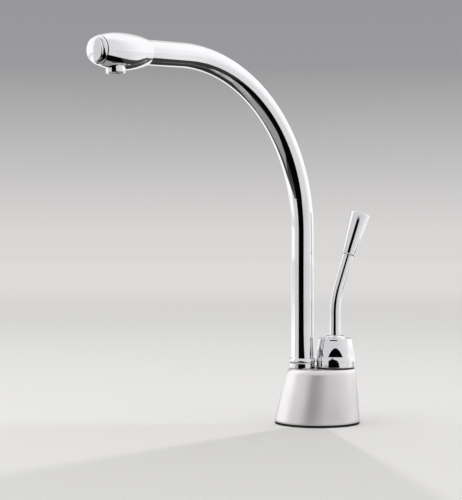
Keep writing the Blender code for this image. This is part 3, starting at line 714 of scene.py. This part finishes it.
def makeNose():
    size = noseSizes
    foot, top = hairGap, hairGap + size["ringWidth"]
    # the bead is a crowned band that carries the head's curve on to the disc
    outline = [(size["ringInner"], foot)]
    for i in range(size["ringSteps"] + 1):
        share = i / size["ringSteps"]
        radius = size["ringRadius"] + (size["ringFront"] - size["ringRadius"]) * share**2
        dip = size["ringCrown"] * (1 - math.sin(math.pi * share) ** 0.5)
        outline.append((radius - dip, foot + size["ringWidth"] * share))
    outline += [(size["ringInner"], top), (size["ringInner"], foot)]
    bead = turnOutline("noseBead", outline, size["steps"])
    putInPlace(bead, nosePlace())
    finishPiece(bead, "spout", "nose_ring", "chrome")
    capFoot = top + hairGap
    capTop = capFoot + size["capEdge"]
    plugRadius = size["ringInner"] - hairGap
    outline = [(0, -size["plug"]), (plugRadius, -size["plug"]), (plugRadius, capFoot)]
    outline.append((size["capRadius"], capFoot))
    outline += quarterTurn(size["capRadius"], capTop, size["capRound"], size["roundSteps"])
    outline += dome(size["capRadius"] - size["capRound"], capTop, size["dome"], size["domeSteps"])
    disc = turnOutline("noseDisc", outline, size["steps"])
    putInPlace(disc, nosePlace())
    finishPiece(disc, "spout", "nose_cap", "chrome")


nozzleSizes = {
    "radius": 0.0061,
    "bore": 0.0046,
    "below": 0.0031,
    "inside": 0.0040,
    "edge": 0.0006,
    "edgeSteps": 6,
    "steps": 96,
    "screenSetback": 0.0010,
    "screenThickness": 0.0012,
    "screenSteps": 64,
    "holes": 6,
    "holeRadius": 0.00055,
    "holeCircle": 0.0026,
    "holeVerts": 24,
}


def makeNozzle():
    size = nozzleSizes
    downwards = Matrix.Translation((0, 0, headSizes["nozzleAt"])) @ Matrix.Rotation(math.pi / 2, 4, "X")
    mouth = headSizes["radius"] + size["below"]
    foot = headSizes["radius"] - size["inside"]
    outline = [(size["bore"], foot), (size["radius"], foot)]
    outline += quarterTurn(size["radius"], mouth, size["edge"], size["edgeSteps"])
    outline += [(size["bore"] + hairGap, mouth), (size["bore"], mouth - hairGap), (size["bore"], foot)]
    barrel = turnOutline("outletBarrel", outline, size["steps"])
    putInPlace(barrel, headPlace() @ downwards)
    finishPiece(barrel, "spout", "nozzle_body", "chrome")
    high = mouth - size["screenSetback"]
    low = high - size["screenThickness"]
    edge = size["bore"] - hairGap
    outline = [(0, low), (edge, low), (edge, high), (0, high)]
    screen = turnOutline("outletScreen", outline, size["screenSteps"])
    for i in range(size["holes"]):
        place = around(size["holeCircle"], math.tau * i / size["holes"], low)
        drillHole(screen, size["holeVerts"], size["holeRadius"], size["screenThickness"] * throughHole, place)
    putInPlace(screen, headPlace() @ downwards)
    finishPiece(screen, "spout", "nozzle_strainer", "steel")


makeGooseneck()
makeCollar()
makeHead()
makeNose()
makeNozzle()
print("spout made")


# the lever

hubSizes = {
    "foot": 0.0400,
    "radius": 0.0139,
    "flange": 0.0054,
    "height": 0.0225,
    "shoulderRadius": 0.0117,
    "shoulderHeight": 0.0190,
    "shoulderEdge": 0.0009,
    "shoulderSteps": 8,
    "domeRadius": 0.0072,
    "domeHeight": 0.0020,
    "domeSteps": 12,
    "flatFoot": 0.0077,
    "flatReach": 0.0125,
    "flats": 6,
    "turn": math.radians(-8.3),
    "blend": 0.0012,
    "blendSteps": 6,
    "footEdge": 0.0004,
    "hollow": 0.0100,
    "web": 0.0012,
    "steps": 144,
    "sharpAngle": 7,
}
rodSizes = {
    "radius": 0.0038,
    "foot": 0.0565,
    "bendStart": 0.0780,
    "bendRadius": 0.0700,
    "bend": math.radians(16.6),
    "side": 1,
    "straight": 0.0240,
    "intoKnob": 0.0077,
    "sides": 48,
    "bendSteps": 24,
}
knobSizes = {
    "length": 0.0300,
    "footRadius": 0.0046,
    "endRadius": 0.00684,
    "endEdge": 0.0008,
    "endDome": 0.0004,
    "endSteps": 8,
    "ringRadius": 0.0048,
    "ringWidth": 0.0012,
    "ringSteps": 8,
    "steps": 96,
}


def makeHub():
    size = hubSizes
    foot, top = size["foot"], size["foot"] + size["height"]
    domeZ = top - size["domeHeight"]
    bore = rodSizes["radius"] + hairGap
    floor = rodSizes["foot"] - hairGap
    ceiling = foot + size["flange"] - size["web"]
    domeSize = (size["domeRadius"] - bore, size["domeHeight"])
    outline = [(0, floor), (bore, floor), (bore, top)]
    outline += arc((bore, domeZ), domeSize, 90, 0, size["domeSteps"])[1:]
    outline += quarterTurn(size["shoulderRadius"], domeZ, size["shoulderEdge"], size["shoulderSteps"])[::-1]
    outline.append((size["shoulderRadius"], foot + size["shoulderHeight"]))
    # the cone runs into the upright flange in a soft bend
    slope = (size["radius"] - size["shoulderRadius"]) / (size["shoulderHeight"] - size["flange"])
    for i in range(size["blendSteps"] + 1):
        share = 1 - 2 * i / size["blendSteps"]
        inward = slope * size["blend"] * (1 + share)**2 / 4
        outline.append((size["radius"] - inward, foot + size["flange"] + size["blend"] * share))
    outline += [(size["radius"], foot + size["footEdge"]), (size["radius"] - size["footEdge"], foot)]
    outline += [(size["hollow"], foot), (size["hollow"], ceiling), (0, ceiling)]
    hub = turnOutline("leverCap", outline, size["steps"])
    # six flats are milled above the flange, each by a block whose inner face is the flat
    blocks = {"size": 1, "scale": (size["radius"], size["radius"] * 2, size["height"])}
    reach = size["flatReach"] + size["radius"] / 2
    middle = foot + size["flatFoot"] + size["height"] / 2
    for i in range(size["flats"]):
        angle = size["turn"] + math.tau * i / size["flats"]
        block = startPrimitive("flatCutter", bpy.ops.mesh.primitive_cube_add, rotation=(0, 0, angle),
                               location=around(reach, angle, middle), **blocks)
        cutWith(hub, block)
    putInPlace(hub, leverPlace())
    finishPiece(hub, "lever", "lever_hub", "chrome", sharpAngle=size["sharpAngle"])


def makeRod():
    rod = bendTube("leverRod", rodSizes, rodSizes["straight"] + rodSizes["intoKnob"])
    putInPlace(rod, leverPlace())
    finishPiece(rod, "lever", "lever_rod", "chrome")


def knobPlace():
    return leverPlace() @ tubeEnd(rodSizes, rodSizes["straight"])


def makeKnob():
    size = knobSizes
    bore = rodSizes["radius"] + hairGap
    depth = rodSizes["intoKnob"] + hairGap
    rim = size["length"] - size["endDome"]
    outline = [(0, depth), (bore, depth), (bore, 0), (size["footRadius"], 0)]
    outline += quarterTurn(size["endRadius"], rim, size["endEdge"], size["endSteps"])
    outline += dome(size["endRadius"] - size["endEdge"], rim, size["endDome"], size["endSteps"])
    knob = turnOutline("leverGrip", outline, size["steps"])
    putInPlace(knob, knobPlace())
    finishPiece(knob, "lever", "lever_knob", "chrome")
    top, foot = -hairGap, -hairGap - size["ringWidth"]
    half = size["ringWidth"] / 2
    outline = [(bore, foot)]
    outline += arc((size["ringRadius"] - half, top - half), (half, half), -90, 90, size["ringSteps"])
    outline += [(bore, top), (bore, foot)]
    ring = turnOutline("gripRing", outline, size["steps"])
    putInPlace(ring, knobPlace())
    finishPiece(ring, "lever", "knob_ring", "chrome")


makeHub()
makeRod()
makeKnob()
print("lever made")


# what clamps the tap from below

clampSizes = {
    "shankRadius": 0.0135,
    "shankBore": 0.0110,
    "shankTop": 0.0088,
    "shankFoot": -0.0560,
    "shankEdge": 0.0004,
    "threadPitch": 0.0020,
    "threadDepth": 0.0007,
    "threadRoot": 0.0001,  # how deep the ridge's root goes into the core
    "threadFlank": 0.4,  # heights of a flank and of the crest, over the pitch
    "threadCrest": 0.15,
    "threadSteps": 64,
    "plainTurns": 2,  # the thread has this many turns fewer than fit between the foot and the seat
    "washerRadius": 0.0240,
    "rubberTop": -0.0300,
    "rubberThickness": 0.0030,
    "rubberEdge": 0.0005,
    "steelThickness": 0.0020,
    "steelEdge": 0.0003,
    "nutFlats": 0.0360,
    "nutHeight": 0.0090,
    "nutChamfer": 0.0016,
    "nutSharpAngle": 25,
    "steps": 96,
}
pipeSizes = {
    "radius": 0.003175,
    "wall": 0.0008,
    "circle": 0.0058,
    "foot": -0.0740,
    "top": 0.0145,
    "edge": 0.0002,
    "steps": 48,
}


def makeShank():
    size = clampSizes
    core = size["shankRadius"] - size["threadDepth"]
    shank = turnRing("deckShank", core, size["shankBore"], size["shankFoot"], size["shankTop"],
                     size["steps"], size["shankEdge"])
    # the thread is one ridge wound up the shank, its root a little inside the core
    pitch = size["threadPitch"]
    turns = int(-size["shankFoot"] / pitch) - size["plainTurns"]
    start = size["shankFoot"] + pitch / 2
    out, flank = size["threadDepth"] + size["threadRoot"], pitch * size["threadFlank"]
    ridge = startPoint("threadRidge", (core - size["threadRoot"], 0, start))
    drawOn(((out, 0, flank), (0, 0, pitch * size["threadCrest"]), (-out, 0, flank)))
    bpy.ops.mesh.edge_face_add()
    applyModifier(ridge, "SCREW", axis="Z", steps=size["threadSteps"], render_steps=size["threadSteps"],
                  iterations=turns, screw_offset=pitch, use_merge_vertices=False)
    bpy.ops.object.mode_set(mode="EDIT")
    closeEnds()
    pick(shank)
    ridge.select_set(True)
    bpy.ops.object.join()
    finishPiece(shank, "base", "threaded_shank", "brass")


def makeClamp():
    size = clampSizes
    steps = size["steps"]
    hole = size["shankRadius"] + hairGap
    high, low = size["rubberTop"], size["rubberTop"] - size["rubberThickness"]
    rubber = turnRing("clampRubber", size["washerRadius"], hole, low, high, steps, size["rubberEdge"])
    finishPiece(rubber, "base", "rubber_washer", "rubber")
    high = low - hairGap
    low = high - size["steelThickness"]
    steel = turnRing("clampSteel", size["washerRadius"], hole, low, high, steps, size["steelEdge"])
    finishPiece(steel, "base", "steel_washer", "steel")
    high = low - hairGap
    low = high - size["nutHeight"]
    flat, chamfer = size["nutFlats"] / 2, size["nutChamfer"]
    corner = flat / math.cos(math.pi / 6)
    nut = startPrimitive("clampNut", bpy.ops.mesh.primitive_cylinder_add, vertices=6, radius=corner,
                         depth=size["nutHeight"], location=(0, 0, (low + high) / 2))
    # both faces are chamfered round, as on a turned nut
    outline = [(0, low - hairGap), (flat - hairGap, low - hairGap), (corner + hairGap, low + chamfer)]
    outline += [(corner + hairGap, high - chamfer), (flat - hairGap, high + hairGap), (0, high + hairGap)]
    cutWith(nut, turnOutline("nutBlank", outline, steps), "INTERSECT")
    drillHole(nut, steps, hole, size["nutHeight"] * throughHole, (0, 0, low))
    finishPiece(nut, "base", "lock_nut", "brass", sharpAngle=size["nutSharpAngle"])


def makePipes():
    size = pipeSizes
    inner = size["radius"] - size["wall"]
    pipes = (("hotReturnTube", "hot_return_pipe"), ("coldInletTube", "cold_inlet_pipe"),
             ("tankFeedTube", "tank_feed_pipe"))
    for number, (name, node) in enumerate(pipes):
        pipe = turnRing(name, size["radius"], inner, size["foot"], size["top"], size["steps"], size["edge"])
        angle = -math.pi / 2 + math.tau * number / len(pipes)
        putInPlace(pipe, Matrix.Translation(around(size["circle"], angle, 0)))
        finishPiece(pipe, "base", node, "copper")


makeShank()
makeClamp()
makePipes()
print("clamp and pipes made")


# the frame's own pieces that stay keep their shape and get the same finishes

slotOf = {part["node"]: part["material_slot"] for part in frame["record"]["subparts"]}
for name, node in frame["nodes"].items():
    node.data.materials.clear()
    node.data.materials.append(finishes[slotOf[name]])


# floor, backdrop and light

cameraAt = {
    "azimuth": math.radians(86),
    "distance": 0.853,
    "aside": -0.0508,
    "height": 0.123,
    "lens": 86.4,
    "clipStart": 0.01,
}
studio = {
    "floor": "#DEDDDB",
    "floorRough": 0.6,
    "floorRadius": 12.0,
    "floorSides": 96,
    "fadeFrom": 0.7,  # metres from the tap: past here the floor turns into the backdrop
    "fadeTo": 3.0,
    "ambient": 0.55,
    "lowest": -0.05,  # the backdrop's stops run over the height of the view's direction
    "highest": 0.75,
    "backdrop": ((0.0, "#DDDBD9"), (0.08, "#D9D7D6"), (0.25, "#9B9B9D"), (0.5, "#8C8D90"), (0.8, "#F4F4F4")),
}


def viewAxes():
    angle = cameraAt["azimuth"]
    back = Vector((math.sin(angle), -math.cos(angle), 0))
    right = Vector((math.cos(angle), math.sin(angle), 0))
    return back, right


def seenOrMirrored(tree):
    # 1 for what the camera sees straight, mirrored or through glass, and 0 for light
    rays = addNode(tree, "LightPath", {}).outputs
    either = addNode(tree, "Math", {0: rays["Is Camera Ray"], 1: rays["Is Glossy Ray"]}, operation="MAXIMUM")
    shown = addNode(tree, "Math", {0: either.outputs[0], 1: rays["Is Transmission Ray"]}, operation="MAXIMUM")
    return shown.outputs[0]


def makeFloor():
    floor = startCircle("floor", studio["floorSides"], studio["floorRadius"], "NGON")
    toObjectMode()
    finish, tree, shader, place = startFinish("matFloor", 0.0)
    shader.inputs["Roughness"].default_value = studio["floorRough"]
    shader.inputs["Base Color"].default_value = hexColour(studio["floor"])
    away = addNode(tree, "VectorMath", {0: place}, operation="LENGTH").outputs["Value"]
    span = {"Value": away, "From Min": studio["fadeFrom"], "From Max": studio["fadeTo"]}
    far = addNode(tree, "MapRange", span, interpolation_type="SMOOTHSTEP").outputs["Result"]
    share = addNode(tree, "Math", {0: far, 1: seenOrMirrored(tree)}, operation="MULTIPLY").outputs[0]
    lowestTone = studio["backdrop"][0][1]
    plain = addNode(tree, "Emission", {"Color": hexColour(lowestTone), "Strength": 1.0})
    mixed = addNode(tree, "MixShader", {0: share, 1: shader.outputs[0], 2: plain.outputs[0]})
    tree.links.new(mixed.outputs[0], tree.nodes["Material Output"].inputs["Surface"])
    floor.data.materials.append(finish)


def addRamp(tree, factor, stops):
    ramp = addNode(tree, "ValToRGB", {"Fac": factor})
    points = ramp.color_ramp.elements
    while len(points) < len(stops):
        points.new(1.0)
    for point, (position, code) in zip(points, stops):
        point.position = position
        point.color = hexColour(code)
    return ramp.outputs["Color"]


def makeWorld():
    world = bpy.data.worlds.new("studio")
    bpy.context.scene.world = world
    world.use_nodes = True
    tree = world.node_tree
    tree.nodes.clear()
    direction = addNode(tree, "TexCoord", {}).outputs["Generated"]
    height = addNode(tree, "SeparateXYZ", {"Vector": direction}).outputs["Z"]
    span = {"Value": height, "From Min": studio["lowest"], "From Max": studio["highest"]}
    colour = addRamp(tree, addNode(tree, "MapRange", span).outputs["Result"], studio["backdrop"])
    seen = addNode(tree, "Background", {"Color": colour, "Strength": 1.0})
    fill = addNode(tree, "Background", {"Color": hexColour("#FFFFFF"), "Strength": studio["ambient"]})
    mixed = addNode(tree, "MixShader", {0: seenOrMirrored(tree), 1: fill.outputs[0], 2: seen.outputs[0]})
    tree.links.new(mixed.outputs[0], addNode(tree, "OutputWorld", {}).inputs["Surface"])


def towards(degrees):
    # the level direction from the tap; degrees run round it from the camera towards the picture's right
    back, right = viewAxes()
    turn = math.radians(degrees)
    return right * math.sin(turn) + back * math.cos(turn)


lampAim = Vector((0.04, -0.05, 0.12))  # about the middle of the tap
# turn is in those degrees, rise in degrees above the horizon; level is how bright the lamp's face is
lamps = {
    "leftLamp": {"turn": -70, "rise": 35, "distance": 1.6, "size": 1.3, "level": 1.3},
    "rightLamp": {"turn": 60, "rise": 30, "distance": 1.7, "size": 1.2, "level": 0.9},
    "topLamp": {"turn": -10, "rise": 75, "distance": 1.5, "size": 1.5, "level": 1.3},
}


def makeLamps():
    for name, box in lamps.items():
        rise = math.radians(box["rise"])
        out = towards(box["turn"]) * math.cos(rise) + Vector((0, 0, math.sin(rise)))
        light = bpy.data.lights.new(name, "AREA")
        light.size = box["size"]
        light.energy = box["level"] * math.pi * box["size"]**2
        lamp = bpy.data.objects.new(name, light)
        bpy.context.scene.collection.objects.link(lamp)
        lamp.location = lampAim + out * box["distance"]
        lamp.rotation_euler = (-out).to_track_quat("-Z", "Y").to_euler()
        lamp.visible_glossy = False  # the chrome shows the tent instead


# Chrome is photographed in a tent of white cloth, lit from outside, and shows that cloth: bright at the
# sides, dimmer in front, with a low dark opening as a streak. Only reflections see it.
tentLook = {
    "radius": 10.0,
    "height": 12.0,
    "sides": 120,
    "openBehind": 26,  # degrees each way, where the backdrop shows
    # the cloth's tone, at the same degrees
    "round": ((-180, "#FFFFFF"), (-94, "#FFFFFF"), (-82, "#D2D1D2"), (14, "#D2D1D2"), (75, "#E2E1E2"),
              (100, "#FFFFFF"), (180, "#FFFFFF")),
    # white where the cloth opens, black where it is whole
    "gapSides": ((-180, "#000000"), (-46, "#000000"), (-41, "#FFFFFF"), (8, "#FFFFFF"), (11, "#000000")),
    "gapFrom": -42,
    "gapPeak": -23,  # the opening is highest here and slants down to both sides
    "gapTo": 8,
    "gapTop": 0.23,  # heights over distance, at the peak and at its left and right ends
    "gapLeft": 0.05,
    "gapRight": 0.06,
    "gapSoft": 0.02,
    "gapTone": "#050505",
    "level": 1.2,
}


def asTurn(degrees):
    # a share of the whole turn, with the camera at a half
    return degrees / 360 + 0.5


def addTurnRamp(tree, turn, stops):
    return addRamp(tree, turn, [(asTurn(degrees), code) for degrees, code in stops])


def hideFromAllButReflections(board):
    board.visible_camera = False
    board.visible_diffuse = False
    board.visible_shadow = False
    board.visible_transmission = False


def gapShare(tree, turn, place):
    # 1 inside the tent's low dark opening, 0 on the cloth
    look = tentLook
    between = addTurnRamp(tree, turn, look["gapSides"])
    height = addNode(tree, "SeparateXYZ", {"Vector": place}).outputs["Z"]
    floor = -look["height"] / 2
    slants = []
    for end, low in ((look["gapFrom"], look["gapLeft"]), (look["gapTo"], look["gapRight"])):
        span = {"Value": turn, "From Min": asTurn(look["gapPeak"]), "From Max": asTurn(end),
                "To Min": floor + look["radius"] * look["gapTop"], "To Max": floor + look["radius"] * low}
        slants.append(addNode(tree, "MapRange", span).outputs["Result"])
    edge = addNode(tree, "Math", {0: slants[0], 1: slants[1]}, operation="MINIMUM").outputs[0]
    above = addNode(tree, "Math", {0: height, 1: edge}, operation="SUBTRACT").outputs[0]
    soft = look["radius"] * look["gapSoft"]
    fade = {"Value": above, "From Min": 0.0, "From Max": soft, "To Min": 1.0, "To Max": 0.0}
    isLow = addNode(tree, "MapRange", fade).outputs["Result"]
    return addNode(tree, "Math", {0: between, 1: isLow}, operation="MULTIPLY").outputs[0]


def makeTent():
    look = tentLook
    tent = startPrimitive("tent", bpy.ops.mesh.primitive_cylinder_add, vertices=look["sides"],
                          radius=look["radius"], depth=look["height"], end_fill_type="NGON",
                          location=(0, 0, look["height"] / 2))
    bpy.ops.mesh.select_mode(type="FACE")
    bpy.ops.mesh.select_all(action="DESELECT")
    toObjectMode()
    for face in tent.data.polygons:
        turn = math.degrees(math.atan2(face.center.y, face.center.x))
        isWall = abs(face.normal.z) < 0.5
        face.select = isWall and abs(turn) > 180 - look["openBehind"]
    bpy.ops.object.mode_set(mode="EDIT")
    bpy.ops.mesh.delete(type="FACE")
    toObjectMode()
    cloth = bpy.data.materials.new("tentCloth")
    cloth.use_nodes = True
    tree = cloth.node_tree
    tree.nodes.clear()
    place = addNode(tree, "TexCoord", {}).outputs["Object"]
    turn = addNode(tree, "TexGradient", {"Vector": place}, gradient_type="RADIAL").outputs["Fac"]
    tone = addTurnRamp(tree, turn, look["round"])
    dark = hexColour(look["gapTone"])
    tones = {"Factor": gapShare(tree, turn, place), firstColour: tone, secondColour: dark}
    mix = addNode(tree, "Mix", tones, data_type="RGBA")
    glow = addNode(tree, "Emission", {"Color": mix.outputs[mixedColour], "Strength": look["level"]})
    tree.links.new(glow.outputs[0], addNode(tree, "OutputMaterial", {}).inputs["Surface"])
    tent.data.materials.append(cloth)
    tent.rotation_euler.z = cameraAt["azimuth"] - math.pi / 2
    hideFromAllButReflections(tent)


# Boards and cloth lie round the tap and give the arc its dark lower side: a polished board is bright
# at a low angle and dark below. Corners are in the same degrees and in metres from the tap.
boards = {
    "blackBoard": {
        "tone": "#121214",
        "rough": 0.07,
        "specular": 0.3,
        "corners": ((-170, 0.40), (-110, 0.44), (-60, 0.48), (-20, 0.50), (20, 0.42), (60, 0.26), (98, 0.26),
                    (110, 0.55), (135, 0.55), (160, 0.34)),
    },
    "whiteCard": {
        "tone": "#F0F0F0",
        "rough": 0.9,
        "specular": 0.0,
        "glow": 0.5,
        "corners": ((-155, 0.44), (-120, 0.46), (-92, 0.48), (-92, 11.5), (-120, 12.0), (-155, 11.5)),
    },
    "greyCard": {
        "tone": "#A2A0A0",
        "rough": 0.9,
        "specular": 0.0,
        "corners": ((-130, 0.03), (-130, 0.27), (-80, 0.29), (-46, 0.20), (-20, 0.15), (-20, 0.03)),
    },
    "blackCloth": {
        "tone": "#060606",
        "rough": 0.9,
        "specular": 0.0,
        "corners": ((60, 0.06), (52, 0.25), (22, 0.42), (8.5, 0.95), (7.5, 11.5), (-43, 11.5), (-46, 0.20),
                    (-20, 0.15), (10, 0.10)),
    },
    "paleCard": {
        "tone": "#B4B3B1",
        "rough": 0.6,
        "specular": 0.5,
        "corners": tuple((30 * i, 0.062) for i in range(12)),
    },
}


def makeBoards():
    for number, (name, box) in enumerate(boards.items()):
        board = startCircle(name, len(box["corners"]), 1, "NGON")
        toObjectMode()
        for vertex, (degrees, away) in zip(board.data.vertices, box["corners"]):
            vertex.co = towards(degrees) * away
            vertex.co.z = hairGap * (number + 1)
        finish = bpy.data.materials.new("mat" + name)
        finish.use_nodes = True
        shader = finish.node_tree.nodes["Principled BSDF"]
        shader.inputs["Base Color"].default_value = hexColour(box["tone"])
        shader.inputs["Roughness"].default_value = box["rough"]
        shader.inputs["Specular IOR Level"].default_value = box["specular"]
        shader.inputs["Emission Color"].default_value = hexColour(box["tone"])
        shader.inputs["Emission Strength"].default_value = box.get("glow", 0.0)
        board.data.materials.append(finish)
        hideFromAllButReflections(board)


def makeCamera():
    back, right = viewAxes()
    camera = bpy.data.objects.new("camera", bpy.data.cameras.new("camera"))
    bpy.context.scene.collection.objects.link(camera)
    camera.location = (Vector((0, placing["columnY"], cameraAt["height"])) + back * cameraAt["distance"]
                       + right * cameraAt["aside"])
    camera.rotation_euler = (-back).to_track_quat("-Z", "Y").to_euler()
    camera.data.lens = cameraAt["lens"]
    camera.data.clip_start = cameraAt["clipStart"]
    bpy.context.scene.camera = camera


makeFloor()
makeWorld()
makeLamps()
makeTent()
makeBoards()
makeCamera()
bpy.context.scene.view_settings.view_transform = "Standard"
print("studio made")
